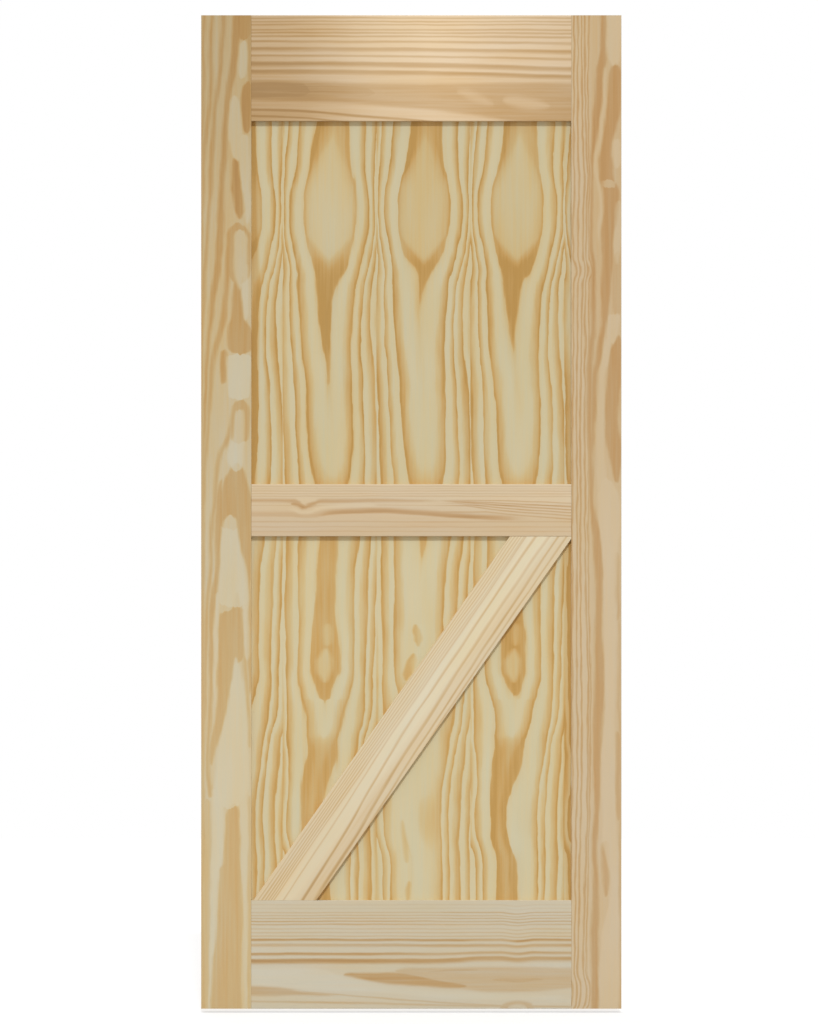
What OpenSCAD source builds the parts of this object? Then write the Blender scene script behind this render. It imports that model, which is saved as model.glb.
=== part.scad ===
// Barn door leaf in clear pine: two full-height stiles, a deep top rail and a deep bottom rail,
// one flat panel held in grooves, and on each face a planted mid rail with a diagonal brace below it.
// Millimetres. X runs across the leaf, Y through its thickness (front face at -Y), Z up.
// The origin is at the middle of the leaf's bottom edge.

/* [Leaf] */
// Overall width of the leaf
door_w = 838; // [700:1:1100]
// Overall height of the leaf
door_h = 1981; // [1900:1:2400]
// Thickness of the stiles and rails
door_t = 35; // [32:0.5:45]
// Radius of the eased long edges of the stiles and rails
edge_r = 1; // [0.5:0.1:3]

/* [Stiles and rails] */
// Width of each stile
stile_w = 100; // [85:1:130]
// Height of the top rail
top_rail_h = 211; // [180:1:260]
// Height of the bottom rail
bottom_rail_h = 216; // [180:1:260]

/* [Panel] */
// Thickness of the panel
panel_t = 13; // [11.5:0.5:16]
// Depth of the panel groove in the stiles and rails
groove_d = 12; // [8:0.5:16]
// Clearance between the panel and each wall of its groove
groove_fit = 0.1; // [0.05:0.05:0.3]
// Room left at the sides and top of the panel for it to swell
panel_gap = 1.5; // [0.5:0.1:3]
// Gap between a rail's stub tongue and the bottom of the stile's groove
tongue_gap = 0.3; // [0.1:0.1:1]

/* [Mid rail and brace] */
// Height of the mid rail's lower edge above the leaf's bottom edge
mid_rail_z = 942; // [800:1:1100]
// Height of the mid rail
mid_rail_h = 104; // [80:1:130]
// Width of the brace across its grain
brace_w = 103; // [70:1:130]
// How far the brace lies below its corner-to-corner line
brace_drop = 3; // [0:0.5:8]
// How far the face of the mid rail and brace lies behind the face of the stiles
plant_set_back = 0.5; // [0:0.1:3]
// Radius of the eased edges of the mid rail and brace
plant_edge_r = 1.2; // [0.5:0.1:4]
// Gap at each butted end of the mid rail and brace
butt_gap = 0.2; // [0.1:0.1:1]

/* [Dowels] */
// Diameter of a dowel
dowel_d = 10; // [8:0.5:11]
// Length of a dowel
dowel_l = 100; // [70:1:130]
// Number of dowels in each rail end
dowel_count = 3; // [2:1:3]
// Distance between dowels
dowel_pitch = 65; // [40:1:70]
// Clearance around a dowel in its bore
dowel_fit = 0.1; // [0.05:0.05:0.3]
// Glue room past each end of a dowel
dowel_end_gap = 2; // [0.5:0.5:5]
// Chamfer on the ends of a dowel
dowel_chamfer = 1.2; // [0.5:0.1:2]
// Number of glue flutes along a dowel
flute_count = 8; // [6:1:12]
// Depth of a glue flute
flute_d = 0.5; // [0.2:0.1:0.8]

/* [Hidden] */
$fn = 48;
// How far a cutting shape runs past the face that it opens
overcut = 1;
opening_w = door_w - 2 * stile_w;
groove_w = panel_t + 2 * groove_fit;
panel_top_z = door_h - top_rail_h + groove_d - panel_gap;
panel_bottom_z = bottom_rail_h - groove_d;
plant_t = (door_t - panel_t) / 2 - plant_set_back;
plant_w = opening_w - 2 * butt_gap;
tongue_l = groove_d - tongue_gap;

// The brace takes the slope of a corner-to-corner board in the lower opening, and has level ends.
brace_bottom_z = bottom_rail_h + butt_gap;
brace_rise = mid_rail_z - butt_gap - brace_bottom_z;
brace_angle = atan2(brace_rise, plant_w) + asin(brace_w / norm([plant_w, brace_rise]));
brace_centre_z = brace_bottom_z + brace_rise / 2;

stile_colour = [0.80, 0.69, 0.50];
rail_colour = [0.82, 0.70, 0.52];
panel_colour = [0.83, 0.73, 0.50];
plant_colour = [0.86, 0.74, 0.58];
dowel_colour = [0.74, 0.58, 0.40];

// Board section with all four long edges eased, centred on the origin.
module eased_section(w, h, r) {
    square([w - 2 * r, h], center = true);
    square([w, h - 2 * r], center = true);
    for (side = [-1, 1], end = [-1, 1])
        translate([side * (w / 2 - r), end * (h / 2 - r)]) circle(r);
}

// Section of a planted board: a flat seat at y = 0 and a face at y = t with two eased edges.
module planted_section(w, t, r) {
    translate([-w / 2, 0]) square([w, t - r]);
    translate([r - w / 2, 0]) square([w - 2 * r, t]);
    for (side = [-1, 1])
        translate([side * (w / 2 - r), t - r]) circle(r);
}

// Heights of the dowels in a rail end whose solid part runs from low to high.
function dowel_heights(low, high) = [
    for (i = [0 : dowel_count - 1]) (low + high) / 2 + (i - (dowel_count - 1) / 2) * dowel_pitch
];
top_dowel_heights = dowel_heights(door_h - top_rail_h + groove_d, door_h);
bottom_dowel_heights = dowel_heights(0, panel_bottom_z);

// Bores for the dowels at both shoulders of the rails.
module dowel_bores(heights) {
    bore_l = dowel_l + 2 * dowel_end_gap;
    for (side = [-1, 1], z = heights)
        translate([side * opening_w / 2, 0, z])
            rotate([0, 90, 0])
                cylinder(h = bore_l, d = dowel_d + 2 * dowel_fit, center = true);
}

// Fluted dowel along Z with chamfered ends, centred on the origin.
module dowel() {
    r = dowel_d / 2;
    half = dowel_l / 2;
    difference() {
        rotate_extrude()
            polygon([
                [0, -half], [r - dowel_chamfer, -half], [r, dowel_chamfer - half],
                [r, half - dowel_chamfer], [r - dowel_chamfer, half], [0, half]
            ]);
        for (i = [0 : flute_count - 1])
            rotate([0, 0, i * 360 / flute_count])
                translate([r, 0, 0])
                    cylinder(h = dowel_l + 2 * overcut, r = flute_d, center = true);
    }
}

module dowels(heights) {
    color(dowel_colour)
        for (side = [-1, 1], z = heights)
            translate([side * opening_w / 2, 0, z]) rotate([0, 90, 0]) dowel();
}

// Stile on the left of the leaf: grooved down its inner edge and bored for the dowels.
module stile() {
    difference() {
        translate([-(door_w - stile_w) / 2, 0, 0])
            linear_extrude(door_h)
                difference() {
                    eased_section(stile_w, door_t, edge_r);
                    translate([stile_w / 2 - groove_d, -groove_w / 2])
                        square([groove_d + overcut, groove_w]);
                }
        dowel_bores(top_dowel_heights);
        dowel_bores(bottom_dowel_heights);
    }
}

module left_stile() {
    color(stile_colour) stile();
}

module right_stile() {
    color(stile_colour) mirror([1, 0, 0]) stile();
}

// Rail from low to high, with a stub tongue on each end that fills the stile's groove.
// The panel groove is in the edge at groove_z, and the tongue stops short of it.
module rail(low, high, groove_z, tongue_low, tongue_high, heights) {
    difference() {
        union() {
            translate([-opening_w / 2, 0, (low + high) / 2])
                rotate([90, 0, 90])
                    linear_extrude(opening_w) eased_section(door_t, high - low, edge_r);
            translate([-opening_w / 2 - tongue_l, -panel_t / 2, tongue_low])
                cube([opening_w + 2 * tongue_l, panel_t, tongue_high - tongue_low]);
        }
        translate([-opening_w / 2 - overcut, -groove_w / 2, groove_z - groove_d])
            cube([opening_w + 2 * overcut, groove_w, 2 * groove_d]);
        dowel_bores(heights);
    }
}

module top_rail() {
    low = door_h - top_rail_h;
    color(rail_colour) rail(low, door_h, low, low + groove_d, door_h, top_dowel_heights);
}

module bottom_rail() {
    color(rail_colour)
        rail(0, bottom_rail_h, bottom_rail_h, 0, panel_bottom_z, bottom_dowel_heights);
}

// One sheet behind both openings. It stands on the bottom rail's groove.
module panel() {
    w = opening_w + 2 * (groove_d - panel_gap);
    color(panel_colour)
        translate([-w / 2, -panel_t / 2, panel_bottom_z])
            cube([w, panel_t, panel_top_z - panel_bottom_z]);
}

// Planted board lying along X with its middle at the origin and its face towards -Y.
module planted_board(length, w) {
    translate([-length / 2, -panel_t / 2, 0])
        rotate([90, 0, 90])
            linear_extrude(length)
                rotate([0, 0, 90]) planted_section(w, plant_t, plant_edge_r);
}

module mid_rail() {
    translate([0, 0, mid_rail_z + mid_rail_h / 2]) planted_board(plant_w, mid_rail_h);
}

// Board at the brace's angle, cut level at both ends and upright where it meets the stile.
module brace() {
    intersection() {
        translate([0, 0, brace_centre_z])
            rotate([0, -brace_angle, 0])
                translate([0, 0, -brace_drop])
                    planted_board(2 * (plant_w + brace_rise), brace_w);
        translate([-plant_w / 2, -door_t, brace_bottom_z])
            cube([plant_w, 2 * door_t, brace_rise]);
    }
}

module front_mid_rail() {
    color(plant_colour) mid_rail();
}

module rear_mid_rail() {
    color(plant_colour) mirror([0, 1, 0]) mid_rail();
}

module front_brace() {
    color(plant_colour) brace();
}

module rear_brace() {
    color(plant_colour) mirror([0, 1, 0]) brace();
}

module top_rail_dowels() {
    dowels(top_dowel_heights);
}

module bottom_rail_dowels() {
    dowels(bottom_dowel_heights);
}

left_stile();
right_stile();
top_rail();
bottom_rail();
panel();
front_mid_rail();
rear_mid_rail();
front_brace();
rear_brace();
top_rail_dowels();
bottom_rail_dowels();
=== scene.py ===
"""Dresses the barn door leaf as unfinished clear pine, in a plain white studio."""
import math

import bmesh
import bpy
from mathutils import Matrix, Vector


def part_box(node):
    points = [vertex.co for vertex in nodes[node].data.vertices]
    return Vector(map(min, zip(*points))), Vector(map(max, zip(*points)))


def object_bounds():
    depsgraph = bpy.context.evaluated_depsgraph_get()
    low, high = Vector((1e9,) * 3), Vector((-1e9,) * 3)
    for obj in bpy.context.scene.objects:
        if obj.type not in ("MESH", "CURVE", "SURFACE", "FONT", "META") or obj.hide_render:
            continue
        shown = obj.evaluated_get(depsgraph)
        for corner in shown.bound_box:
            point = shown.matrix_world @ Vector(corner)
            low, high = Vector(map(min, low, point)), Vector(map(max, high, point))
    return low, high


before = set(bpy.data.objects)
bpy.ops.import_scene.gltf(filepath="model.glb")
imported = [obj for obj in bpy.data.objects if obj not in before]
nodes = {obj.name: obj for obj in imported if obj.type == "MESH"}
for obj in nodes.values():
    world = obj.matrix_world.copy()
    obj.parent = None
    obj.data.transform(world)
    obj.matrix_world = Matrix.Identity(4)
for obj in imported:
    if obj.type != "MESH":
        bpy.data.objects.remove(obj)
cad_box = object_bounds()
scene = bpy.context.scene

MM = 0.001

# Camera: the photo's frame in pixels, where the leaf's middle lies in it, and its scale
PHOTO_W = 819
PHOTO_H = 1024
LEAF_MIDDLE_PX = (411.3, 512.0)
MM_PER_PX = 1.994
LENS_MM = 200.0
SENSOR_MM = 36.0

# Light: a key from above and in front, a weaker one behind, and an even fill from all round
KEY_FROM = Vector((0.04, -0.74, 0.67))
KEY_STRENGTH = 1.52
BACK_FROM = Vector((-0.2, 0.9, 0.4))
BACK_STRENGTH = 0.9
LAMP_COLOUR = (0.9, 1.0, 1.12)
LAMP_SIZE = math.radians(4)
FILL_STRENGTH = 0.65
FILL_COLOUR = (1.06, 1.0, 0.93, 1.0)
WHITE = (1.0, 1.0, 1.0, 1.0)

# Floor: how far it lies below the leaf and half its side, in metres, then how pale and bright it is
FLOOR_DROP = 0.008
FLOOR_HALF = 6.0
FLOOR_SHADE = 0.5
FLOOR_GLOW = 0.55

# Sizes of the leaf that the figure is laid out on, in millimetres
LEAF_HALF_W = 419.0
STILE_W = 100.0
FRAME_FACE = 17.5
PLANT_FACE = 17.0
BRACE_W = 103.0

# Display colours of early wood, through tan, to the darkest late wood, for each board
TONE_STOPS = [0.0, 0.4, 0.8, 1.0]
PANEL_TONES = [(209, 197, 160), (206, 180, 128), (197, 156, 92), (186, 144, 78)]
LEFT_STILE_TONES = [(209, 196, 165), (203, 177, 130), (192, 152, 95), (181, 139, 83)]
RIGHT_STILE_TONES = [(212, 190, 155), (202, 173, 130), (190, 149, 98), (180, 139, 88)]
TOP_RAIL_TONES = [(237, 212, 176), (214, 183, 141), (192, 154, 104), (178, 140, 91)]
MID_RAIL_TONES = [(221, 199, 164), (210, 184, 147), (197, 161, 117), (185, 147, 101)]
BOTTOM_RAIL_TONES = [(212, 201, 175), (203, 181, 146), (191, 155, 106), (181, 143, 95)]
BRACE_TONES = [(225, 211, 178), (217, 195, 158), (202, 172, 126), (186, 152, 105)]
BEECH_TONES = [(205, 168, 128), (192, 150, 108), (178, 134, 92), (160, 116, 78)]


# Numbers that run along the wires of a material's nodes

class Wire:
    """A number at each point of a surface, with arithmetic that adds the nodes for it."""

    def __init__(self, socket):
        self.socket = socket

    def __add__(self, other):
        return calc("ADD", self, other)

    def __radd__(self, other):
        return calc("ADD", other, self)

    def __sub__(self, other):
        return calc("SUBTRACT", self, other)

    def __rsub__(self, other):
        return calc("SUBTRACT", other, self)

    def __mul__(self, other):
        return calc("MULTIPLY", self, other)

    def __rmul__(self, other):
        return calc("MULTIPLY", other, self)

    def __truediv__(self, other):
        return calc("DIVIDE", self, other)

    def __pow__(self, other):
        return calc("POWER", self, other)

    def __abs__(self):
        return calc("ABSOLUTE", self)


def feed(socket, value):
    """Links a wire to a socket, or sets a plain value on it."""
    if isinstance(value, Wire):
        socket.id_data.links.new(value.socket, socket)
    else:
        socket.default_value = value


def add_node(kind, *values):
    """A node of that kind in the tree of its first wire, with its first sockets fed in order."""
    tree = next(v for v in values if isinstance(v, Wire)).socket.id_data
    node = tree.nodes.new(kind)
    for socket, value in zip(node.inputs, values):
        feed(socket, value)
    return node


def calc(operation, *values):
    node = add_node("ShaderNodeMath", *values)
    node.operation = operation
    return Wire(node.outputs[0])


def ramp(value, start, end, kind="LINEAR"):
    """0 up to start, 1 from end on."""
    node = add_node("ShaderNodeMapRange", value, start, end)
    node.interpolation_type = kind
    node.clamp = True
    return Wire(node.outputs[0])


def smooth(value, start, end):
    return ramp(value, start, end, "SMOOTHSTEP")


def hump(value, middle, reach):
    """1 at the middle, falling away to 0 past the reach."""
    return smooth(abs(value - middle), reach, 0.0)


def line(value, points):
    """A smooth line through given points, each a value and its result."""
    points = sorted(points)
    low, high = points[0][0], points[-1][0]
    bottom = min(result for _, result in points)
    rise = max(result for _, result in points) - bottom
    if rise == 0:
        return bottom
    tree = value.socket.id_data
    node = tree.nodes.new("ShaderNodeFloatCurve")
    feed(node.inputs["Value"], ramp(value, low, high))
    curve = node.mapping.curves[0]
    for _ in points[2:]:
        curve.points.new(0.5, 0.5)
    for point, (at, result) in zip(curve.points, points):
        point.location = ((at - low) / (high - low), (result - bottom) / rise)
        point.handle_type = "AUTO_CLAMPED"
    node.mapping.update()
    return Wire(node.outputs["Value"]) * rise + bottom


def noise(x, y, z, detail=2.0):
    """Smooth noise about 0, mostly within a quarter either way, with lumps about a unit apart."""
    place = add_node("ShaderNodeCombineXYZ", x, y, z)
    tree = place.id_data
    node = tree.nodes.new("ShaderNodeTexNoise")
    tree.links.new(place.outputs[0], node.inputs["Vector"])
    node.inputs["Scale"].default_value = 1.0
    node.inputs["Detail"].default_value = detail
    return Wire(node.outputs["Fac"]) - 0.5


# Growth rings

# How soft patches and growth lines are at their edges, in millimetres and in shares of a line's width
PATCH_BLUR = 8.0
SOFT_BLUR = 16.0
PATCH_CLOSES = 2.0
LINE_BLUR = 1.2
LINE_BLUR_SHARE = 0.08
LINE_FULL_SHARE = 0.3
# How far a board's growth is shaken, and the distances along and across it over which that comes and goes
WANDER_MM = 10.0
WANDER_OVER = (140.0, 50.0)
FRAY_MM = 7.0
FRAY_OVER = (45.0, 7.0)
FRAY_DETAIL = 3.0
FRAY_SEED = 3.0
BUMPS_MM = 13.0
BUMPS_OVER = (200.0, 10.0)
BUMPS_SEED = 5.0


def ragged(across, along, seed, shake=1.0):
    """Places across and along a board, shaken so that lines wander and patches have bumpy ends."""
    wander = noise(along / WANDER_OVER[0], across / WANDER_OVER[1], seed) * (WANDER_MM * shake)
    fray = noise(along / FRAY_OVER[0], across / FRAY_OVER[1], seed + FRAY_SEED, FRAY_DETAIL)
    bumps = noise(across / BUMPS_OVER[1], along / BUMPS_OVER[0], seed + BUMPS_SEED)
    return across + wander + fray * (FRAY_MM * shake), along + bumps * BUMPS_MM


def late_wood(across, edge, width):
    """The dark band inside a growth line: it gathers over its width and stops short at the line."""
    blur = LINE_BLUR + width * LINE_BLUR_SHARE
    gathered = smooth(across, edge - width, edge - width * LINE_FULL_SHARE)
    return gathered * smooth(across, edge + blur, edge - blur)


def vary(along, value):
    """A number that is the same all along a board, or that follows a line through given points."""
    return line(along, value) if isinstance(value, list) else value


def bands(across, along, lines):
    """Tone of several growth lines, each a width, a strength and a place. The last two may vary."""
    tone = 0.0
    for width, strength, places in lines:
        tone = late_wood(across, vary(along, places), width) * vary(along, strength) + tone
    return tone


def patch(across, along, spine, blur):
    """A patch where a ring comes to the surface: places along the board, middles and half widths."""
    middle = line(along, [(at, centre) for at, centre, _ in spine])
    half = line(along, [(at, half_width) for at, _, half_width in spine])
    inside = half - abs(across - middle)
    return smooth(inside, -blur / 2, blur / 2) * ramp(half, 0.0, PATCH_CLOSES)


def patches(across, along, shapes, blur=PATCH_BLUR):
    """Tone of several patches, each a strength and its spine."""
    tone = 0.0
    for strength, spine in shapes:
        tone = calc("MAXIMUM", patch(across, along, spine, blur) * strength, tone)
    return tone


# The panel's veneer: one figure, cut again and again from the same flitch and laid side by side

# Width of a veneer leaf, and where the left joint of the middle one lies
VENEER_W = 187.4
VENEER_JOINT = -69.4
# Height in the leaf, and the middle of the figure there, measured from the middle of its veneer leaf
FIGURE_MIDDLE = [
    (216, -24), (276, -24), (326, -32), (375, -38), (432, -33), (480, -26), (535, -15), (620, -8),
    (680, -8), (815, -8), (935, -2), (1045, 4), (1115, 3), (1250, -2), (1355, -8), (1435, -6),
    (1495, 0), (1590, 0), (1685, 2), (1770, 7),
]
# Height, and half the width of the figure inside each growth line
FIGURE_LINES = [
    [
        (1245, 0), (1295, 6), (1355, 12), (1435, 20), (1495, 39), (1535, 48), (1590, 53), (1685, 42),
        (1770, 34),
    ],
    [
        (614, 0), (619, 9), (640, 16), (660, 24), (680, 29), (735, 27), (781, 21), (815, 19), (935, 18),
        (995, 22), (1045, 34), (1115, 43), (1250, 47), (1355, 52), (1435, 57), (1515, 69), (1590, 80),
        (1685, 69), (1770, 67),
    ],
    [
        (216, 21), (276, 21), (326, 20), (375, 17), (432, 23), (515, 28), (550, 33), (595, 39),
        (635, 50), (680, 56), (815, 56), (935, 60), (1045, 66), (1115, 69), (1250, 69), (1435, 73),
        (1590, 91), (1770, 88),
    ],
    [
        (216, 46), (416, 48), (480, 56), (595, 78), (735, 81), (935, 84), (1115, 94), (1250, 92),
        (1435, 89), (1590, 100), (1770, 104),
    ],
    [(216, 61), (416, 63), (595, 92), (935, 102), (1250, 110), (1770, 122)],
    [(216, 86), (416, 88), (595, 110), (935, 118), (1250, 126), (1770, 138)],
    [(216, 102), (416, 104), (595, 122), (935, 132), (1250, 142), (1770, 154)],
]
# Low in the leaf the right side of the figure runs straighter than its middle does: by how much of the
# middle's sway, from where to where across, and over what heights that comes in
STRAIGHTER = 0.8
STRAIGHTER_ACROSS = (-15, 35)
STRAIGHTER_BELOW = (560, 480)
# Height, and how far through its ring the wood is at the middle of the figure
FIGURE_CORES = [
    [
        (1250, 1.0), (1355, 0.95), (1420, 0.92), (1455, 0.89), (1474, 0.84), (1486, 0.74), (1493, 0.58),
        (1501, 0.49), (1545, 0.44), (1600, 0.43), (1690, 0.43), (1728, 0.46), (1742, 0.54),
        (1754, 0.64), (1770, 0.7),
    ],
    [
        (616, 1.0), (640, 0.9), (680, 0.85), (760, 0.83), (815, 0.85), (935, 0.86), (1010, 0.82),
        (1045, 0.55), (1072, 0.32), (1115, 0.15), (1175, 0.06), (1250, 0.0),
    ],
    [
        (216, 0.74), (326, 0.75), (372, 0.79), (436, 0.8), (506, 0.78), (532, 0.6), (550, 0.25),
        (575, 0.1), (618, 0.0),
    ],
    [(216, 0.0), (1770, 0.0)],
]
# Height, and how steeply a ring turns towards its edge
FIGURE_SPREADS = [
    [
        (1250, 1.2), (1440, 1.5), (1490, 3.0), (1540, 6.0), (1600, 6.0), (1660, 4.0), (1710, 2.5),
        (1770, 2.0),
    ],
    [(618, 0.9), (740, 0.9), (900, 1.0), (1000, 1.6), (1150, 2.4), (1250, 1.8)],
    [(216, 1.2), (500, 1.4), (618, 1.6)],
    [(216, 1.8), (560, 1.8), (700, 1.0)],
]
# How far a ring is through, and the tone of its wood there
RING_TONES = [
    (0.0, 0.34), (0.04, 0.15), (0.12, 0.1), (0.32, 0.13), (0.44, 0.28), (0.6, 0.46), (0.8, 0.66),
    (0.93, 0.84), (0.98, 0.8), (1.0, 0.34),
]
# Height, and the strength of the innermost ring's late wood
INNER_STRENGTH = [
    (1250, 1.0), (1440, 1.18), (1475, 1.15), (1520, 0.85), (1590, 0.8), (1660, 0.85), (1770, 0.95),
]
# The innermost ring's pale oval is pointed at both ends: how far its wood lags behind below, or runs
# ahead above, per millimetre from the middle, and the heights over which that comes in
POINTED_END = 1.1
POINTED_BELOW = (1640, 1540)
POINTED_TOP = 2.0
POINTED_ABOVE = (1600, 1680)
# The oval is darker up its left flank: by how much, how far out in full, and the heights over which that
# comes in. The innermost ring ends at a count of 1.
OVAL_LEFT_FLANK = 0.25
OVAL_FLANK_MM = 20.0
OVAL_TOP = (1630, 1710)
INNERMOST_ENDS = (1.02, 0.98)
# Veneer leaf, counted from the middle one, and how much deeper in the flitch it was cut, in rings. The
# second list is added low in the panel, over the heights given.
CUT_DEPTHS = [(-2, 0.04), (-1, 0.0), (0, 0.06), (1, 0.02), (2, 0.02)]
CUT_DEPTHS_LOW = [(-1, 0.0), (0, 0.22), (1, 0.0)]
CUT_DEPTHS_BELOW = (1000, 750)
# No two veneer leaves are shaken alike: by how many rings, and over what distances across and up
VENEER_SEED = 7.3
RING_SHAKE = 0.14
RING_SHAKE_OVER = (30.0, 220.0)
RING_SHAKE_SEED = 3.1
# Rings differ in strength, from one to the next and over the height, up to the darkest
RING_VARIETY = 1.1
RING_VARIETY_OVER = 260.0
RING_VARIETY_SEEDS = (5.3, 2.3)
RING_DARKEST = 1.08
# Pale spots in the brown eye and in the tongue above it, placed from the middle of the veneer leaf
EYE_SPOTS = [
    (0.54, [(648, -8, 0), (662, -9, 9), (674, -10, 14), (688, -10, 15), (702, -9, 11), (720, -8, 0)]),
    (0.36, [(722, -5, 0), (734, -4, 7), (752, -4, 8), (770, -3, 0)]),
]
# Small flecks in the middle leaf, and an orange band beside each stile
PANEL_FLECKS = [
    (0.5, [(720, 14, 0), (728, 14, 4), (738, 14, 8), (750, 11, 8), (760, 9, 5), (768, 8, 0)]),
    (0.52, [(652, -11, 0), (660, -10, 5), (675, -5, 10), (690, 0, 10), (700, 3, 7), (710, 5, 0)]),
    (0.3, [(288, -9, 0), (300, -10, 4), (330, -13, 5), (360, -17, 4), (380, -19, 0)]),
    (0.4, [(216, -7, 3), (235, -7, 5), (246, -5, 4), (256, -4, 0)]),
    (0.4, [(216, 313, 6), (500, 312, 8), (930, 312, 8), (960, 312, 0)]),
    (0.4, [(990, -315, 0), (1020, -315, 5), (1250, -313, 7), (1400, -311, 8), (1550, -313, 6),
           (1770, -315, 5)]),
]
# Height, and how rich the colour of the rings is, then how light the veneer is
PANEL_RICHNESS = [(216, 0.99), (930, 0.98), (1060, 1.1), (1770, 1.11)]
PANEL_SHADE = [(216, 1.07), (930, 1.07), (1060, 1.02), (1770, 1.0)]


def figure_rings(from_middle, height, z):
    """How many rings lie between the heart of the figure and a place beside its middle."""
    lag = from_middle * smooth(z, *POINTED_BELOW) * POINTED_END
    lead = from_middle * smooth(z, *POINTED_ABOVE) * POINTED_TOP
    core_heights = [height - lag + lead, height, height, height]
    rings = 0.0
    inner = 0.0
    for number, points in enumerate(FIGURE_LINES):
        edge = line(z, points)
        through = ramp(from_middle, inner, edge)
        if number < len(FIGURE_CORES):
            core = line(core_heights[number], FIGURE_CORES[number])
            through = core + (1 - core) * through ** line(z, FIGURE_SPREADS[number])
        rings = through + rings
        inner = edge
    return rings


def ring_strength(rings, leaf, u, middle, z):
    """How strong the late wood is: each ring has its own strength, and the innermost its own line."""
    number_seed, leaf_seed = RING_VARIETY_SEEDS
    variety = noise(calc("FLOOR", rings) * number_seed, z / RING_VARIETY_OVER, leaf * leaf_seed)
    strength = calc("MINIMUM", variety * RING_VARIETY + 1, RING_DARKEST)
    innermost = ramp(rings, *INNERMOST_ENDS)
    left_flank = ramp(u, middle, middle - OVAL_FLANK_MM) * smooth(z, *OVAL_TOP) * OVAL_LEFT_FLANK
    return strength * (1 - innermost + innermost * (line(z, INNER_STRENGTH) + left_flank))


def panel_tone(x, y, z):
    """The figure as it is seen from either side, so that the back isn't the front in a mirror."""
    facing = calc("SIGN", y) * -1
    seen_x = facing * x
    place = (seen_x - VENEER_JOINT) / VENEER_W
    leaf = calc("FLOOR", place)
    u = (calc("FRACT", place) - 0.5) * VENEER_W
    u, height = ragged(u, z, leaf * VENEER_SEED)
    straighter = smooth(u, *STRAIGHTER_ACROSS) * smooth(z, *STRAIGHTER_BELOW) * STRAIGHTER
    middle = line(z, FIGURE_MIDDLE) * (1 - straighter)
    depth = line(leaf, CUT_DEPTHS) + line(leaf, CUT_DEPTHS_LOW) * smooth(z, *CUT_DEPTHS_BELOW)
    shake = noise(u / RING_SHAKE_OVER[0], z / RING_SHAKE_OVER[1], leaf * RING_SHAKE_SEED)
    rings = figure_rings(abs(u - middle), height, z) + depth + shake * RING_SHAKE
    strength = ring_strength(rings, leaf, u, middle, z)
    tone = line(calc("FRACT", rings), RING_TONES) * strength + patches(seen_x, z, PANEL_FLECKS)
    return tone * line(z, PANEL_RICHNESS) * (1 - patches(u, z, EYE_SPOTS, SOFT_BLUR))


# The stiles: distances across are from the inner edge, so that growth runs outwards on both.
# Each patch has a strength, and heights in the leaf with the middle and half width there.

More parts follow.
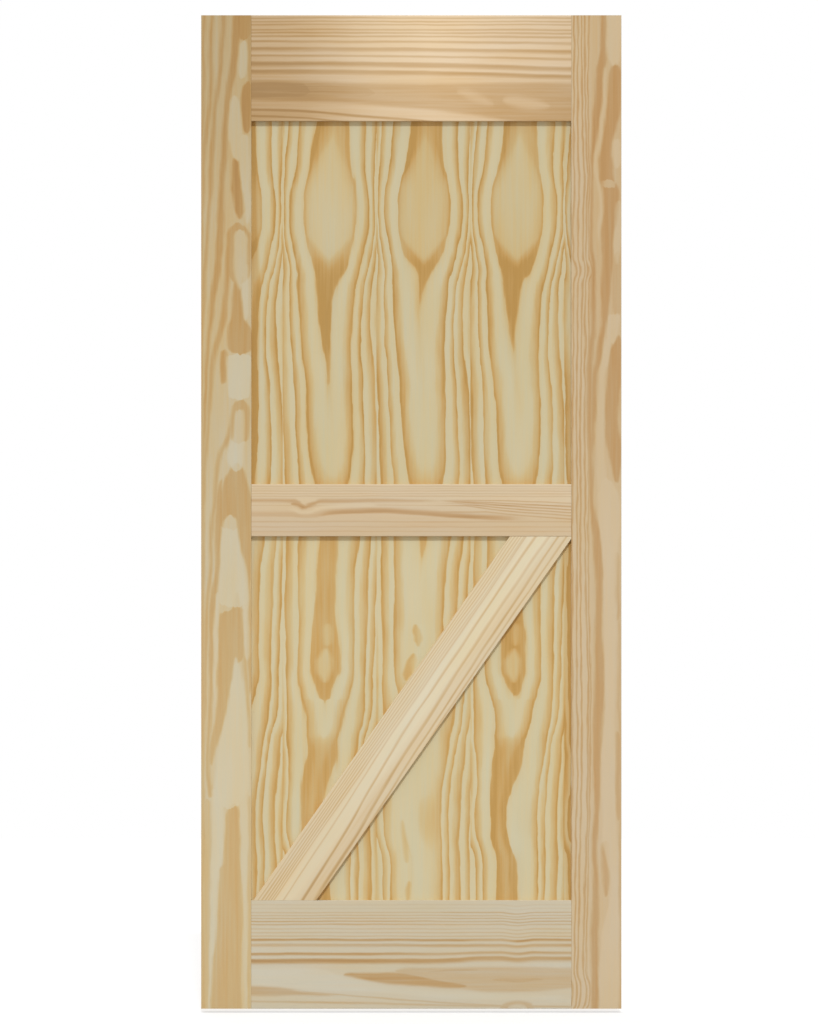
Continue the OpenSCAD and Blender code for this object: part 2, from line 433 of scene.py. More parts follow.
LEFT_STILE_DARK = [
    (0.42, [(990, 97, 2), (1100, 95, 3), (1240, 91, 3.5), (1330, 86, 4), (1400, 79, 5), (1445, 72, 6),
            (1486, 66, 6), (1530, 63, 7.5), (1567, 61, 7.5), (1600, 61, 6), (1645, 59, 5.5),
            (1690, 55, 5.5), (1735, 52, 5.5), (1780, 48, 5), (1826, 46, 6), (1871, 39, 7),
            (1917, 34, 7), (1950, 30, 8), (1981, 27, 8)]),
    (0.36, [(990, 95, 2.5), (1060, 93, 3), (1150, 87, 3.5), (1217, 83, 4.5), (1263, 80, 5),
            (1308, 74, 5.5), (1340, 66, 6), (1376, 56, 6), (1400, 53, 6), (1445, 48, 6), (1490, 46, 6),
            (1530, 42, 6), (1556, 38, 5), (1562, 37, 0)]),
    (0.34, [(1300, 100, 2), (1400, 96, 3), (1486, 91, 3.5), (1576, 86, 3.5), (1667, 80, 4.5),
            (1758, 74, 4.5), (1803, 72, 4.5), (1849, 66, 4.5), (1894, 61, 4.5), (1962, 56, 4.5),
            (1981, 55, 4.5)]),
    (0.34, [(1576, 99, 2), (1667, 95, 2.5), (1758, 89, 4), (1826, 82, 3.5), (1917, 81, 3.5),
            (1981, 79, 3)]),
    (0.3, [(1667, 100, 2), (1800, 96, 2.5), (1981, 94, 2.5)]),
    (0.4, [(1928, 16, 0), (1940, 15, 14), (1955, 15, 20), (1981, 15, 20)]),
    (0.3, [(1822, 1, 0), (1835, 1, 5), (1900, 1, 6), (1945, 2, 7), (1955, 2, 0)]),
    (0.5, [(1745, 8, 0), (1757, 8, 7), (1780, 10, 10), (1810, 10, 11), (1832, 9, 10), (1845, 6, 5),
           (1850, 5, 0)]),
    (0.5, [(1572, 23, 0), (1582, 23, 6), (1600, 24, 11), (1622, 27, 11), (1645, 31, 9), (1668, 31, 8),
           (1688, 30, 6), (1698, 30, 0)]),
    (0.34, [(1440, 22, 0), (1480, 24, 24), (1540, 25, 24), (1552, 26, 20), (1562, 27, 10),
            (1568, 27, 0)]),
    (0.45, [(1305, 23, 0), (1310, 23, 18), (1325, 23, 24), (1345, 23, 24), (1376, 27, 15),
            (1400, 27, 11), (1422, 28, 9), (1445, 28, 6), (1460, 29, 3), (1470, 30, 0)]),
    (0.42, [(1244, 55, 0), (1255, 55, 5), (1290, 55, 6.5), (1305, 55, 6), (1314, 55, 0)]),
    (0.34, [(1128, 25, 0), (1137, 24, 18), (1170, 23, 20), (1195, 22, 19), (1207, 22, 13),
            (1215, 22, 0)]),
    (0.34, [(400, 96, 3), (600, 93, 3), (800, 87, 3.5), (877, 81, 3.5), (968, 78, 3.5), (1013, 72, 4),
            (1059, 69, 4), (1104, 61, 4), (1127, 52, 5), (1149, 43, 4.5), (1165, 40, 4),
            (1172, 39, 0)]),
    (0.4, [(420, 80, 0), (432, 82, 5), (455, 84, 4), (492, 85, 3.5), (582, 84, 3.5), (673, 80, 4.5),
           (764, 79, 5), (832, 72, 6), (900, 66, 5), (945, 66, 6.5), (1000, 64, 6.5), (1036, 62, 4),
           (1060, 55, 0)]),
    (0.4, [(955, 34, 0), (972, 33, 36), (990, 32, 37), (1013, 30, 33), (1036, 31, 28), (1059, 30, 20),
           (1080, 28, 9), (1092, 29, 0)]),
    (0.38, [(620, 2, 0), (650, 2, 3), (740, 3, 4), (832, 4, 4), (855, 6, 6), (880, 8, 9), (923, 11, 13),
            (968, 13, 16), (1000, 14, 18), (1020, 14, 0)]),
    (0.36, [(480, 80, 0), (500, 79, 5), (537, 72, 8), (582, 63, 10.5), (628, 56, 13), (650, 54, 15),
            (680, 52, 17), (705, 39, 27), (741, 40, 26), (764, 40, 24), (786, 39, 22), (800, 29, 8),
            (826, 30, 3), (832, 30, 0)]),
    (0.26, [(520, 3, 0), (537, 4, 3), (628, 8, 3.5), (673, 11, 4), (710, 13, 4), (725, 14, 0)]),
    (0.32, [(0, 48, 36), (87, 46, 32), (133, 43, 27), (223, 42, 24), (276, 42, 22), (290, 38, 17),
            (380, 37, 15), (394, 36, 12), (403, 35, 8), (410, 34, 0)]),
    (0.2, [(0, 92, 7), (200, 89, 9), (400, 89, 9), (420, 89, 0)]),
    (0.2, [(0, 2, 5), (200, 3, 6), (400, 3, 5), (430, 3, 0)]),
]
LEFT_STILE_PALE = [
    (0.6, [(1852, 18, 0), (1868, 18, 8), (1900, 17, 9), (1920, 16, 8), (1930, 15, 0)]),
    (0.55, [(1690, 26, 0), (1715, 26, 14), (1735, 30, 15), (1780, 32, 12), (1810, 33, 8),
            (1822, 33, 0)]),
    (0.6, [(1560, 8, 0), (1590, 8, 6), (1640, 12, 9), (1690, 13, 11), (1735, 14, 10), (1745, 14, 0)]),
    (0.6, [(1430, 22, 0), (1470, 22, 11), (1500, 21, 14), (1530, 21, 14), (1545, 22, 11),
           (1554, 22, 0)]),
    (0.6, [(1370, 11, 0), (1390, 11, 6), (1445, 11, 7), (1480, 12, 6), (1490, 12, 0)]),
    (0.75, [(1214, 24, 0), (1222, 25, 20), (1260, 25, 23), (1298, 24, 24), (1305, 24, 0)]),
    (0.6, [(1072, 28, 0), (1085, 30, 14), (1104, 32, 16), (1130, 27, 13), (1160, 24, 11), (1185, 24, 9),
           (1197, 24, 0)]),
    (0.7, [(800, 34, 0), (815, 34, 30), (832, 34, 30), (877, 37, 26), (923, 42, 19), (968, 43, 14),
           (980, 42, 8), (986, 41, 0)]),
    (0.6, [(590, 74, 0), (650, 73, 3), (700, 71, 4), (780, 69, 4), (820, 66, 4), (830, 66, 0)]),
    (0.6, [(690, 7, 0), (718, 8, 5), (780, 11, 6), (820, 12, 8), (830, 12, 0)]),
    (0.75, [(398, 46, 0), (410, 44, 24), (428, 40, 32), (450, 38, 34), (492, 36, 32), (537, 35, 28),
            (582, 30, 22), (628, 29, 16), (673, 28, 7), (690, 29, 4), (702, 29, 0)]),
    (0.65, [(0, 84, 3), (87, 80, 4), (178, 75, 5), (269, 73, 7), (300, 68, 11), (400, 67, 12),
            (430, 66, 12), (440, 66, 0)]),
    (0.6, [(0, 14, 6), (200, 14, 6), (420, 15, 8), (440, 16, 8), (450, 16, 0)]),
]
LEFT_STILE_BASE = [(0, 0.24), (400, 0.2), (800, 0.24), (1300, 0.3), (1600, 0.37), (1981, 0.44)]
LEFT_STILE_SHADE = [(0, 1.08), (600, 1.06), (1000, 1.01), (1500, 0.97), (1800, 0.9), (1981, 0.88)]

RIGHT_STILE_FINE_LINES = [
    (5, 0.55, [(0, -1), (216, 1), (615, 4), (1000, 4), (1613, 7), (1981, 7)]),
    (5, 0.55, [(0, 9), (216, 10), (615, 14), (1000, 13), (1613, 16), (1981, 14)]),
    (5, 0.55, [(0, 16), (216, 18), (615, 23), (1000, 20), (1613, 26), (1981, 21)]),
    (5, 0.55, [(0, 27), (216, 29), (615, 36), (1000, 29), (1613, 32), (1981, 28)]),
    (4, 0.48, [(0, 33), (216, 34), (615, 40), (1000, 35), (1490, 38), (1613, 36), (1981, 37)]),
]
# Between those lines the wood is pale: how far out from the inner edge, and by how much
RIGHT_STILE_INNER = (44.0, 30.0)
RIGHT_STILE_INNER_PALE = 0.5
# Height, and how far those lines drift towards the inner edge there
RIGHT_STILE_DRIFT = [
    (0, 2), (40, -5), (75, 1), (300, 0), (700, 1), (1000, 0), (1300, 0), (1445, 1), (1470, -4),
    (1500, 2), (1580, 2), (1640, -1), (1720, 0), (1981, 0),
]
RIGHT_STILE_DARK = [
    (0.46, [(0, 47, 7), (133, 47, 7), (223, 48, 6), (314, 47, 5), (382, 49, 5), (450, 52, 7.5),
            (537, 52, 8), (582, 54, 9), (650, 55, 10), (718, 56, 8.5), (832, 56, 7), (900, 53, 9),
            (945, 50, 8), (990, 43, 5.5), (1036, 39, 4.5), (1127, 38, 4.5), (1172, 36, 4.5),
            (1263, 37, 5.5), (1331, 41, 5.5), (1354, 44, 4.5), (1422, 44, 4.5), (1490, 43, 3.5),
            (1531, 39, 3), (1622, 40, 2.5), (1694, 42, 3), (1731, 46, 4), (1758, 49, 5.5),
            (1803, 53, 7.5), (1849, 56, 7), (1880, 59, 8), (1917, 63, 5), (1981, 62, 5)]),
    (0.42, [(1080, 41, 0), (1120, 42, 3), (1172, 44, 4.5), (1240, 47, 7), (1285, 52, 6), (1331, 58, 5),
            (1362, 64, 5.5), (1400, 67, 7), (1445, 70, 10), (1490, 72, 11), (1520, 72, 11),
            (1535, 72, 0)]),
    (0.42, [(1470, 72, 0), (1485, 72, 10), (1531, 72, 11), (1576, 77, 14), (1622, 80, 16),
            (1658, 70, 14), (1690, 69, 13.5), (1712, 70, 10), (1758, 77, 12), (1803, 84, 14),
            (1849, 86, 14), (1871, 88, 11), (1885, 89, 0)]),
    (0.16, [(1380, 92, 0), (1400, 91, 9), (1450, 91, 9), (1495, 92, 8), (1510, 92, 0)]),
    (0.42, [(1048, 87, 0), (1059, 87, 6), (1090, 88, 12), (1127, 84, 16), (1172, 80, 14.5),
            (1217, 82, 14.5), (1263, 86, 14), (1308, 88, 12), (1331, 92, 7), (1345, 93, 0)]),
    (0.3, [(770, 93, 0), (790, 93, 4), (832, 92, 5), (890, 92, 5), (912, 92, 0)]),
    (0.34, [(370, 94, 0), (400, 93, 5), (470, 92, 6), (530, 92, 6), (556, 92, 0)]),
    (0.28, [(0, 99, 3), (300, 98, 3), (620, 97, 3), (760, 96, 2), (780, 96, 0)]),
    (0.34, [(222, 68, 0), (235, 68, 5), (290, 69, 8), (325, 68, 7), (336, 68, 0)]),
]
RIGHT_STILE_PALE = [
    (0.6, [(1878, 88, 0), (1895, 86, 12), (1930, 85, 15), (1981, 85, 16)]),
    (0.55, [(1674, 90, 0), (1690, 91, 7), (1720, 91, 8), (1738, 90, 0)]),
    (0.5, [(1636, 75, 0), (1641, 75, 12), (1648, 75, 12), (1653, 75, 0)]),
    (0.45, [(1480, 94, 0), (1495, 93, 4), (1531, 92, 8), (1600, 95, 6), (1612, 95, 0)]),
    (0.55, [(1325, 80, 0), (1345, 80, 12), (1375, 84, 13), (1388, 86, 0)]),
    (0.6, [(1020, 62, 0), (1040, 60, 8), (1127, 58, 7), (1240, 58, 7), (1290, 65, 7), (1331, 72, 6),
           (1345, 74, 0)]),
    (0.7, [(0, 74, 19), (120, 76, 20), (250, 84, 8), (345, 76, 14), (480, 74, 13), (650, 77, 11),
           (800, 77, 13), (920, 78, 16), (990, 75, 22), (1040, 70, 14), (1060, 66, 0)]),
    (0.5, [(1520, 52, 0), (1560, 56, 3), (1600, 60, 4), (1635, 56, 4), (1660, 51, 4), (1690, 48, 4),
           (1712, 53, 4), (1750, 60, 4), (1803, 64, 3), (1860, 66, 3), (1880, 67, 0)]),
]
RIGHT_STILE_BASE = [(0, 0.2), (800, 0.22), (1300, 0.3), (1600, 0.36), (1981, 0.32)]
RIGHT_STILE_SHADE = [(0, 1.02), (800, 1.02), (1200, 1.0), (1981, 1.0)]

# Growth lines that come out on the stiles' outer edges, past the width of the front faces
STILE_EDGE_LINES = [(3, 0.34, 103.5), (3, 0.4, 107.5), (4, 0.4, 111), (4, 0.36, 116)]
# How far growth shifts for each millimetre of thickness, across a stile, and along any board
STILE_LEAN = 0.5
GROWTH_RISE = 2.0
STILE_SEED = 11.0


def stile_place(x, y, z):
    """Distance from the stile's inner edge and height, as they shift through the thickness."""
    behind = y + FRAME_FACE
    across = abs(x) - (LEAF_HALF_W - STILE_W) + behind * STILE_LEAN
    along = z + behind * GROWTH_RISE
    return ragged(across, along, calc("SIGN", x) * STILE_SEED)


def left_stile_tone(x, y, z):
    across, along = stile_place(x, y, z)
    tone = line(along, LEFT_STILE_BASE) + patches(across, along, LEFT_STILE_DARK)
    edge = bands(across, along, STILE_EDGE_LINES)
    return tone * (1 - patches(across, along, LEFT_STILE_PALE)) + edge


def right_stile_tone(x, y, z):
    across, along = stile_place(x, y, z)
    fine = bands(across + line(z, RIGHT_STILE_DRIFT), z, RIGHT_STILE_FINE_LINES)
    dark = patches(across, along, RIGHT_STILE_DARK)
    pale = smooth(across, *RIGHT_STILE_INNER) * RIGHT_STILE_INNER_PALE
    tone = line(along, RIGHT_STILE_BASE) * (1 - pale) + calc("MAXIMUM", fine, dark)
    edge = bands(across, along, STILE_EDGE_LINES)
    return tone * (1 - patches(across, along, RIGHT_STILE_PALE)) + edge


# The rails: growth lines are heights in the leaf, each with the width and strength of its late wood.
# Patches have places across the leaf, with the middle height and half width there.

TOP_RAIL_LINES = [
    (4, 0.36, 1977), (4, 0.36, 1970), (4, 0.36, 1964), (5, 0.38, 1954.5), (5, 0.38, 1948.5),
    (5, 0.38, 1942), (6, 0.36, 1932.5), (10, 0.42, 1920), (6, 0.34, 1906), (12, 0.45, 1893),
    (12, 0.45, 1878),
]
# Those lines slope: by how much at each place across the leaf, and what share of it at each height
TOP_RAIL_SLOPE = [(-319, 5), (-160, 6), (0, 8), (319, 16)]
TOP_RAIL_SLOPE_SHARE = [
    (1850, 1.0), (1874, 1.0), (1890, 0.75), (1917, 0.5), (1935, 0.25), (1960, 0.06), (1981, 0.0),
]
TOP_RAIL_LOW_LINES = [
    (7, 0.5, [(-330, 1796), (-220, 1792), (-160, 1788), (-80, 1781), (0, 1775), (60, 1768)]),
    (5, 0.45, [(-330, 1783), (-240, 1779), (-160, 1773), (-100, 1766)]),
]
TOP_RAIL_DARK = [
    (0.31, [(-330, 1832, 20), (-160, 1827, 20), (0, 1820, 24), (80, 1816, 28), (160, 1811, 34),
            (200, 1808, 38), (330, 1805, 42)]),
    (0.39, [(-330, 1831, 16), (-200, 1831, 15), (-140, 1829, 13), (-100, 1828, 12), (-80, 1827, 8),
            (-68, 1826, 0)]),
    (0.48, [(-330, 1831, 17), (-240, 1832, 16), (-218, 1832, 15), (-208, 1830, 11), (-200, 1829, 0)]),
]
TOP_RAIL_DARK_BLUR = 10.0
TOP_RAIL_PALE = [
    (0.28, [(88, 1830, 0), (102, 1827, 6), (120, 1821, 9), (140, 1813, 8), (155, 1807, 5),
            (166, 1804, 0)]),
    (0.34, [(180, 1813, 0), (200, 1810, 9), (225, 1806, 11), (250, 1803, 9), (276, 1800, 0)]),
]
# Tone between the lines at each place across the leaf, and what is added to it at each height
TOP_RAIL_BASE = [(-319, 0.46), (-240, 0.42), (-160, 0.28), (0, 0.09), (177, 0.16), (319, 0.2)]
TOP_RAIL_LOW_BASE = [(1770, 0.2), (1800, 0.16), (1852, 0.12), (1880, 0.03), (1981, 0.0)]
# Place across the leaf, and how light the rail is there: a painted pool of light, brightest right of the
# middle and darker towards both ends
TOP_RAIL_PAINTED_LIGHT = [
    (-319, 0.88), (-230, 0.92), (-160, 0.96), (0, 1.05), (60, 1.08), (177, 1.04), (319, 0.97),
]

# The mid rail's late wood is crisp below and fades upwards, so its lines are heights counted downwards
MID_RAIL_FINE_LINES = [
    (3.5, 0.36, -1040.5), (3, 0.32, -1036), (3.5, 0.4, -1031.5), (3.5, 0.38, -1026), (3.5, 0.4, -1021),
    (3, 0.3, -1003), (4, 0.26, -970), (3, 0.24, -960), (3, 0.2, -951),
]
MID_RAIL_BROAD_LINE = [
    (15, [(-330, 0.3), (-230, 0.28), (-200, 0.22), (-170, 0.45), (-130, 0.6), (0, 0.64), (140, 0.58),
          (187, 0.42), (215, 0.15), (240, 0)],
     [(-330, -982), (-240, -981), (-212, -979), (-180, -982), (-146, -986), (-102, -987.5), (-62, -988),
      (0, -986), (69, -981), (140, -976.5), (187, -974.5), (240, -974)]),
]
# Lines that fan out on the right, and the places across the leaf between which they come in
MID_RAIL_FAN_LINES = [
    (3.5, 0.58, [(40, -1014), (69, -1013), (180, -1012), (319, -1007)]),
    (3.5, 0.66, [(60, -1012), (180, -1007), (319, -1000)]),
    (3.5, 0.66, [(69, -1011), (180, -1003), (319, -994)]),
    (3.5, 0.6, [(90, -1007), (180, -998), (319, -988)]),
    (3.5, 0.54, [(110, -1002), (190, -992), (319, -982)]),
    (3.5, 0.46, [(150, -990), (210, -984), (319, -975)]),
]
MID_RAIL_FAN_OPENS = (30.0, 130.0)
MID_RAIL_DARK = [
    (0.6, [(-330, 1014, 3), (-240, 1013, 4), (-222, 1007, 6), (-212, 1001, 4), (-204, 1000, 0)]),
    (0.66, [(-216, 999, 0), (-208, 1002, 3), (-190, 1008, 4), (-170, 1013, 4), (-100, 1013, 4),
            (-50, 1013, 3), (20, 1013, 2), (80, 1012, 0)]),
    (0.7, [(-240, 1006, 0), (-232, 1007, 4), (-222, 1004, 5), (-214, 1000, 3), (-208, 999, 0)]),
    (0.45, [(-191, 1038, 0), (-188.5, 1038, 1.5), (-186, 1038, 0)]),
]
MID_RAIL_PALE = [
    (0.8, [(-250, 998, 0), (-232, 995, 2), (-212, 990, 3), (-190, 996, 3), (-170, 1001, 3),
           (-100, 1004, 3), (-60, 1004, 0)]),
]
MID_RAIL_BASE = [(942, 0.38), (965, 0.36), (990, 0.26), (1015, 0.12), (1046, 0.08)]
MID_RAIL_SHADE = [(-319, 1.0), (0, 1.01), (319, 1.04)]

BOTTOM_RAIL_LINES = [
    (6, 0.34, [(-330, 17), (-100, 13), (20, 10), (200, 7), (330, 6)]),
    (5, [(-240, 0), (-190, 0.34), (60, 0.32), (160, 0.1), (200, 0)],
     [(-240, 37), (-190, 33), (-100, 26), (20, 17), (140, 10), (200, 7)]),
    (14, [(-330, 0.86), (-120, 0.82), (60, 0.7), (160, 0.6), (330, 0.64)],
     [(-330, 99.5), (-20, 99.5), (90, 101.5), (170, 105), (330, 104)]),
    (8, [(-330, 0.72), (-80, 0.66), (60, 0.5), (180, 0.46), (230, 0.6), (330, 0.52)],
     [(-330, 111.5), (60, 112), (170, 115), (330, 114)]),
    (9, [(-330, 0.38), (-120, 0.48), (60, 0.52), (200, 0.44), (330, 0.58)], 129.5),
    (7, [(-330, 0.76), (80, 0.72), (140, 0.52), (190, 0.48), (225, 0.78), (330, 0.76)], 139.5),
    (4, 0.32, 146), (4, 0.28, 153), (4, 0.25, 160.5),
    (4, [(-330, 0.52), (-100, 0.48), (100, 0.36), (330, 0.42)], 169.5),
    (4, [(-330, 0.58), (-60, 0.52), (90, 0.42), (200, 0.52), (330, 0.5)], 175.5),
    (3.5, [(-330, 0.46), (0, 0.4), (140, 0.48), (330, 0.36)], 181.5),
    (3.5, 0.36, 187),
    (3.5, [(-330, 0.28), (40, 0.32), (90, 0.52), (240, 0.5), (330, 0.38)], 193),
    (3, 0.15, 201), (3, 0.15, 208),
]
BOTTOM_RAIL_DARK = [
    (0.62, [(-136, 68, 0), (-127, 68, 3), (-107, 66, 5), (-66, 62, 9.5), (-24, 60, 11.5), (20, 55, 9.5),
            (70, 48, 6.5), (97, 46, 5), (112, 45, 0)]),
    (0.32, [(-36, 75, 0), (-12, 73, 8), (25, 68, 14), (70, 63, 19), (115, 60, 23), (160, 58, 25),
            (210, 58, 25), (330, 62, 20)]),
    (0.46, [(20, 72, 0), (50, 75, 3), (90, 77, 4), (125, 77, 3), (142, 78, 0)]),
    (0.44, [(155, 58, 0), (180, 58, 5), (215, 56, 6), (250, 58, 4), (272, 58, 0)]),
    (0.46, [(-330, 36, 9), (-285, 35, 9), (-250, 34, 7), (-219, 31, 4), (-180, 28, 2.5),
            (-130, 26, 0)]),
    (0.36, [(176, 2, 0), (190, 4, 8), (212, 4, 11), (235, 4, 8), (248, 2, 0)]),
]
BOTTOM_RAIL_PALE = [
    (0.7, [(-330, 64, 16), (-200, 60, 20), (-134, 50, 14), (-60, 40, 8), (0, 34, 7), (70, 28, 7),
           (160, 24, 6), (250, 22, 4), (319, 24, 0)]),
    (0.6, [(192, 2, 0), (202, 2, 5), (212, 2, 7), (224, 2, 5), (232, 2, 0)]),
]
BOTTOM_RAIL_BASE = 0.12
# The bottom rail's lines dip at one place: where it is, how far it reaches to each side, and how deep
DIP_AT = 212.0
DIP_REACH = 36.0
DIP_MM = 3.0

# The rails' growth wanders less than the stiles' does, and leans less through the thickness
RAIL_SHAKE = 0.3
RAIL_LEAN = 0.4
TOP_RAIL_SEED = 1.7
MID_RAIL_SEED = 5.3
BOTTOM_RAIL_SEED = 9.1


def rail_place(x, y, z, seed):
    """Height and place along the rail, as they shift through the thickness."""
    behind = y + FRAME_FACE
    across = z + behind * RAIL_LEAN
    along = x + behind * GROWTH_RISE
    return ragged(across, along, seed, RAIL_SHAKE)


def top_rail_tone(x, y, z):
    across, along = rail_place(x, y, z, TOP_RAIL_SEED)
    sloped = across + line(x, TOP_RAIL_SLOPE) * line(across, TOP_RAIL_SLOPE_SHARE)
    lines = bands(sloped, along, TOP_RAIL_LINES) + bands(across, along, TOP_RAIL_LOW_LINES)
    base = line(x, TOP_RAIL_BASE) + line(across, TOP_RAIL_LOW_BASE)
    tone = lines + patches(across, along, TOP_RAIL_DARK, TOP_RAIL_DARK_BLUR) + base
    return tone * (1 - patches(across, along, TOP_RAIL_PALE, SOFT_BLUR))


def mid_rail_tone(x, y, z):
    across, along = rail_place(x, y, z, MID_RAIL_SEED)
    down = across * -1
    fan = bands(down, along, MID_RAIL_FAN_LINES) * smooth(along, *MID_RAIL_FAN_OPENS)
    fine = bands(down, along, MID_RAIL_FINE_LINES)
    broad = bands(down, along, MID_RAIL_BROAD_LINE)
    dark = patches(across, along, MID_RAIL_DARK)
    tone = line(across, MID_RAIL_BASE) + calc("MAXIMUM", fine + fan + broad, dark)
    return tone * (1 - patches(across, along, MID_RAIL_PALE))


def bottom_rail_tone(x, y, z):
    across, along = rail_place(x, y, z, BOTTOM_RAIL_SEED)
    dipped = across + hump(along, DIP_AT, DIP_REACH) * DIP_MM
    lines = bands(dipped, along, BOTTOM_RAIL_LINES)
    tone = calc("MAXIMUM", lines, patches(across, along, BOTTOM_RAIL_DARK)) + BOTTOM_RAIL_BASE
    return tone * (1 - patches(across, along, BOTTOM_RAIL_PALE))


# The brace: distances across the grain are from just inside its upper edge, and those along it from
# its middle

BRACE_INSET = 3.0
# How far growth leans through the thickness, and how far it wanders, over what distances along and across
BRACE_LEAN = 0.4
BRACE_WANDER_MM = 8.0
BRACE_WANDER_OVER = (180.0, 30.0)
BRACE_SEED = 2.9
# The fine lines by the upper edge slant a little, by this much for each millimetre along
BRACE_FINE_SLANT = 0.01
BRACE_FINE_LINES = [
    (3.5, 0.4, 4), (3.5, 0.42, 9), (3.5, 0.42, 14), (3.5, 0.42, 19), (3.5, 0.4, 24), (3.5, 0.36, 29),
]
BRACE_LINES = [
    (5, 0.4, [(-450, 52), (-275, 46), (-76, 37), (123, 33), (450, 28)]),
    (7, 0.55, [(-450, 84), (-275, 74), (-76, 58), (123, 50), (450, 44)]),
    (9, 0.42, [(-450, 104), (-275, 97), (-76, 82), (123, 74), (450, 66)]),
    (6, 0.42, [(-275, 106), (-76, 98), (123, 90), (450, 82)]),
    (5, 0.4, [(-76, 110), (123, 99), (450, 94)]),
]
# Tone that is added towards each edge, over the distances given
BRACE_PINK = (38.0, 28.0)
BRACE_PINK_TONE = 0.14
BRACE_WARM_EDGE = (62.0, 78.0)
BRACE_WARM_TONE = 0.26
BRACE_BASE = [(-450, 0.26), (-250, 0.2), (0, 0.1), (200, 0.07), (450, 0.07)]
BRACE_SHADE = 1.06


def brace_slope():
    """Slope of the brace, and the height of its middle."""
    low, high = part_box("front_brace")
    wide = (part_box("front_mid_rail")[1][0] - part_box("front_mid_rail")[0][0]) / MM
    tall = (high[2] - low[2]) / MM
    slope = math.atan2(tall, wide) + math.asin(BRACE_W / math.hypot(wide, tall))
    return slope, (high[2] + low[2]) / 2 / MM


def brace_tone(x, y, z):
    slope, middle = brace_slope()
    run = math.cos(slope)
    rise = math.sin(slope)
    along = x * run + (z - middle) * rise
    across = BRACE_W / 2 - BRACE_INSET - (z - middle) * run + x * rise
    wander = noise(along / BRACE_WANDER_OVER[0], across / BRACE_WANDER_OVER[1], BRACE_SEED)
    across = across + (y + PLANT_FACE) * BRACE_LEAN + wander * BRACE_WANDER_MM
    fine = bands(across + along * BRACE_FINE_SLANT, along, BRACE_FINE_LINES)
    pink = ramp(across, *BRACE_PINK) * BRACE_PINK_TONE
    warm = ramp(across, *BRACE_WARM_EDGE) * BRACE_WARM_TONE
    return bands(across, along, BRACE_LINES) + fine + pink + warm + line(along, BRACE_BASE)


# The dowels: length and width of the beech's flecks, and the tone between them

DOWEL_FLECK_MM = (30.0, 1.5)
DOWEL_BASE = 0.4


def dowel_tone(x, y, z):
    length, width = DOWEL_FLECK_MM
    return noise(x / length, y / width, z / width) + DOWEL_BASE


# Finishes: the length and width of each kind of mark in bare wood, how fine it is, how much it changes
# the tone and the shade, and a shift that keeps it apart from the others

FIBRE_MM = (70.0, 1.6)
FIBRE_DETAIL = 3.0
FIBRE_TONE = 0.16
FIBRE_SHADE = 0.1
STREAK_MM = (150.0, 5.0)
STREAK_DETAIL = 3.0
STREAK_TONE = 0.25
STREAK_SHADE = 0.12
STREAK_SHARE = 0.45
STREAK_SHIFT = 20.0
CLOUD_MM = (240.0, 45.0)
CLOUD_DETAIL = 2.0
CLOUD_TONE = 0.3
CLOUD_SHADE = 0.12
CLOUD_SHIFT = 40.0
WARMTH_SHIFT = 60.0
WARM_GREEN = 0.1
WARM_BLUE = 0.35
ROUGHNESS = 0.62
FIBRE_ROUGHNESS = 0.2
LATE_WOOD_GLOSS = 0.06
SPECULAR_LEVEL = 0.25
BUMP_MM = 0.15
BUMP_STRENGTH = 0.5
# Direction of the grain, across the leaf and up it
UPRIGHT = (0.0, 1.0)
LEVEL = (1.0, 0.0)


def linear(r, g, b):
    """A display colour, 0 to 255 a channel, as the linear colour that a shader takes."""
    def channel(value):
        c = value / 255
        return c / 12.92 if c <= 0.04045 else ((c + 0.055) / 1.055) ** 2.4
    return (channel(r), channel(g), channel(b), 1.0)


def new_material(name):
    """A material with its own shader, and the place on the leaf in millimetres as three wires."""
    material = bpy.data.materials.new(name)
    material.use_nodes = True
    tree = material.node_tree
    shader = tree.nodes["Principled BSDF"]
    place = tree.nodes.new("ShaderNodeTexCoord")
    split = tree.nodes.new("ShaderNodeSeparateXYZ")
    tree.links.new(place.outputs["Object"], split.inputs[0])
    return material, shader, [Wire(socket) / MM for socket in split.outputs]


def tone_colour(tone, colours):
    """The colour of the wood at each tone, from 0 for early wood to 1 for the darkest late wood."""
    node = add_node("ShaderNodeValToRGB", tone)
    stops = node.color_ramp.elements
    while len(stops) < len(colours):
        stops.new(0.5)
    for stop, at, colour in zip(stops, TONE_STOPS, colours):
        stop.position = at
        stop.color = linear(*colour)
    return Wire(node.outputs["Color"])


def shaded(colour, shade, warmth):
    """A colour made lighter or darker, and yellower or pinker."""
    green = shade * (1 - warmth * WARM_GREEN)
    blue = shade * (1 - warmth * WARM_BLUE)
    tint = add_node("ShaderNodeCombineXYZ", shade, green, blue)
    node = add_node("ShaderNodeVectorMath", colour, Wire(tint.outputs[0]))
    node.operation = "MULTIPLY"
    return Wire(node.outputs["Vector"])


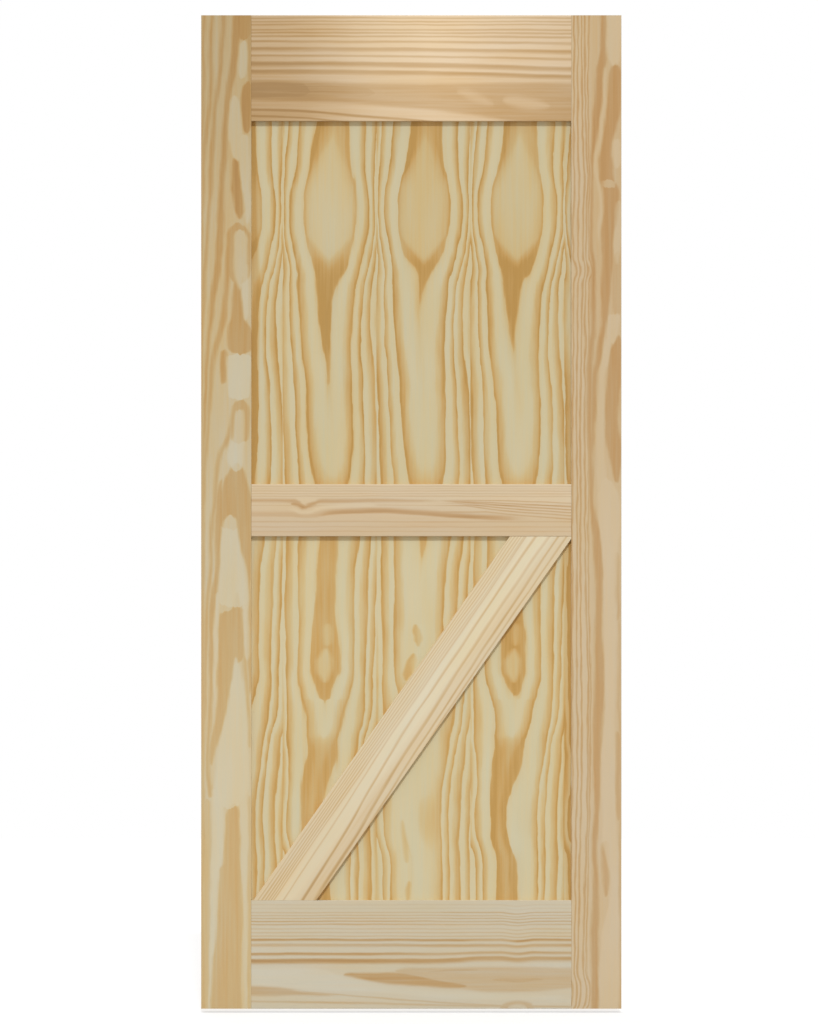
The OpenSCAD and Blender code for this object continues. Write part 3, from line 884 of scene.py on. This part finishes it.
def sanded_wood(name, tone_of, colours, grain, shade_along=1.0, seed=0.0):
    """Bare wood: tone_of gives its growth rings, and shade_along how light it is along its grain (painted
    light on the top rail).
    """
    material, shader, (x, y, z) = new_material(name)
    along = x * grain[0] + z * grain[1]
    across = x * grain[1] - z * grain[0]

    def marks(size, detail, shift=0.0):
        return noise(along / size[0], across / size[1], y / size[1] + seed + shift, detail)

    fibre = marks(FIBRE_MM, FIBRE_DETAIL)
    streak = marks(STREAK_MM, STREAK_DETAIL, STREAK_SHIFT)
    cloud = marks(CLOUD_MM, CLOUD_DETAIL, CLOUD_SHIFT)
    warmth = marks(CLOUD_MM, CLOUD_DETAIL, WARMTH_SHIFT)
    rings = tone_of(x, y, z) * (1 + streak * STREAK_SHARE)
    tone = rings + fibre * FIBRE_TONE + streak * STREAK_TONE + cloud * CLOUD_TONE
    shade = 1 + fibre * FIBRE_SHADE + streak * STREAK_SHADE + cloud * CLOUD_SHADE
    shade = shade * vary(along, shade_along)
    feed(shader.inputs["Base Color"], shaded(tone_colour(tone, colours), shade, warmth))
    feed(shader.inputs["Roughness"], ROUGHNESS + fibre * FIBRE_ROUGHNESS - tone * LATE_WOOD_GLOSS)
    shader.inputs["Specular IOR Level"].default_value = SPECULAR_LEVEL
    relief = material.node_tree.nodes.new("ShaderNodeBump")
    relief.inputs["Strength"].default_value = BUMP_STRENGTH
    relief.inputs["Distance"].default_value = BUMP_MM * MM
    feed(relief.inputs["Height"], fibre)
    feed(shader.inputs["Normal"], Wire(relief.outputs["Normal"]))
    return material


def dress(pieces, material):
    for piece in pieces:
        mesh = nodes[piece].data
        mesh.materials.clear()
        mesh.materials.append(material)


def dress_leaf():
    slope, _ = brace_slope()
    leaning = (math.cos(slope), math.sin(slope))
    dress(["left_stile"], sanded_wood(
        "left_stile_pine", left_stile_tone, LEFT_STILE_TONES, UPRIGHT, LEFT_STILE_SHADE, seed=1.0))
    dress(["right_stile"], sanded_wood(
        "right_stile_pine", right_stile_tone, RIGHT_STILE_TONES, UPRIGHT, RIGHT_STILE_SHADE, seed=2.0))
    # The top rail's lightness along it is a painted pool of light
    dress(["top_rail"], sanded_wood(
        "top_rail_pine", top_rail_tone, TOP_RAIL_TONES, LEVEL, TOP_RAIL_PAINTED_LIGHT, seed=3.0))
    dress(["bottom_rail"], sanded_wood(
        "bottom_rail_pine", bottom_rail_tone, BOTTOM_RAIL_TONES, LEVEL, seed=4.0))
    dress(["panel"], sanded_wood(
        "panel_veneer", panel_tone, PANEL_TONES, UPRIGHT, PANEL_SHADE, seed=5.0))
    dress(["front_mid_rail", "rear_mid_rail"], sanded_wood(
        "mid_rail_pine", mid_rail_tone, MID_RAIL_TONES, LEVEL, MID_RAIL_SHADE, seed=6.0))
    dress(["front_brace", "rear_brace"], sanded_wood(
        "brace_pine", brace_tone, BRACE_TONES, leaning, BRACE_SHADE, seed=7.0))
    dress(["top_rail_dowels", "bottom_rail_dowels"], sanded_wood(
        "dowel_beech", dowel_tone, BEECH_TONES, LEVEL, seed=8.0))


# Studio

def add_camera():
    across = (LEAF_MIDDLE_PX[0] - PHOTO_W / 2) * MM_PER_PX * MM
    up = (LEAF_MIDDLE_PX[1] - PHOTO_H / 2) * MM_PER_PX * MM
    low, high = cad_box
    view_height = PHOTO_H * MM_PER_PX * MM
    data = bpy.data.cameras.new("camera")
    data.lens = LENS_MM
    data.sensor_width = SENSOR_MM
    camera = bpy.data.objects.new("camera", data)
    camera.location = (-across, low[1] - view_height * LENS_MM / SENSOR_MM, (low[2] + high[2]) / 2 + up)
    camera.rotation_euler = (math.radians(90), 0, 0)
    scene.collection.objects.link(camera)
    scene.camera = camera


def add_lamp(name, towards, strength):
    """A distant lamp that lies in the direction given."""
    data = bpy.data.lights.new(name, "SUN")
    data.energy = strength
    data.color = LAMP_COLOUR
    data.angle = LAMP_SIZE
    lamp = bpy.data.objects.new(name, data)
    lamp.rotation_euler = towards.to_track_quat("Z", "Y").to_euler()
    scene.collection.objects.link(lamp)


def seen_directly(tree):
    """1 for what the camera sees, straight or in a reflection, and 0 for light that falls on things."""
    rays = tree.nodes.new("ShaderNodeLightPath").outputs
    seen = calc("MAXIMUM", Wire(rays["Is Camera Ray"]), Wire(rays["Is Glossy Ray"]))
    return calc("MAXIMUM", seen, Wire(rays["Is Transmission Ray"]))


def light_world():
    world = bpy.data.worlds.new("white_studio")
    scene.world = world
    world.use_nodes = True
    tree = world.node_tree
    fill = tree.nodes["Background"]
    fill.inputs["Color"].default_value = FILL_COLOUR
    fill.inputs["Strength"].default_value = FILL_STRENGTH
    white = tree.nodes.new("ShaderNodeBackground")
    white.inputs["Color"].default_value = WHITE
    lights = [Wire(shader.outputs[0]) for shader in (fill, white)]
    mix = add_node("ShaderNodeMixShader", seen_directly(tree), *lights)
    feed(tree.nodes["World Output"].inputs["Surface"], Wire(mix.outputs[0]))


def floor_material():
    """Pale and matt, so that it takes the shadow, with a glow where it is seen."""
    material = bpy.data.materials.new("white_floor")
    material.use_nodes = True
    tree = material.node_tree
    tree.nodes.clear()
    shade = tree.nodes.new("ShaderNodeBsdfDiffuse")
    shade.inputs["Color"].default_value = (FLOOR_SHADE, FLOOR_SHADE, FLOOR_SHADE, 1)
    glow = tree.nodes.new("ShaderNodeEmission")
    feed(glow.inputs["Strength"], seen_directly(tree) * FLOOR_GLOW)
    both = tree.nodes.new("ShaderNodeAddShader")
    out = tree.nodes.new("ShaderNodeOutputMaterial")
    tree.links.new(shade.outputs[0], both.inputs[0])
    tree.links.new(glow.outputs[0], both.inputs[1])
    tree.links.new(both.outputs[0], out.inputs["Surface"])
    return material


def add_floor():
    mesh = bpy.data.meshes.new("floor")
    bm = bmesh.new()
    bmesh.ops.create_grid(bm, x_segments=1, y_segments=1, size=FLOOR_HALF)
    bmesh.ops.translate(bm, vec=(0, 0, cad_box[0][2] - FLOOR_DROP), verts=bm.verts)
    bm.to_mesh(mesh)
    bm.free()
    mesh.materials.append(floor_material())
    floor = bpy.data.objects.new("floor", mesh)
    scene.collection.objects.link(floor)


scene.view_settings.view_transform = "Standard"
dress_leaf()
add_camera()
add_lamp("key", KEY_FROM, KEY_STRENGTH)
add_lamp("back", BACK_FROM, BACK_STRENGTH)
light_world()
add_floor()
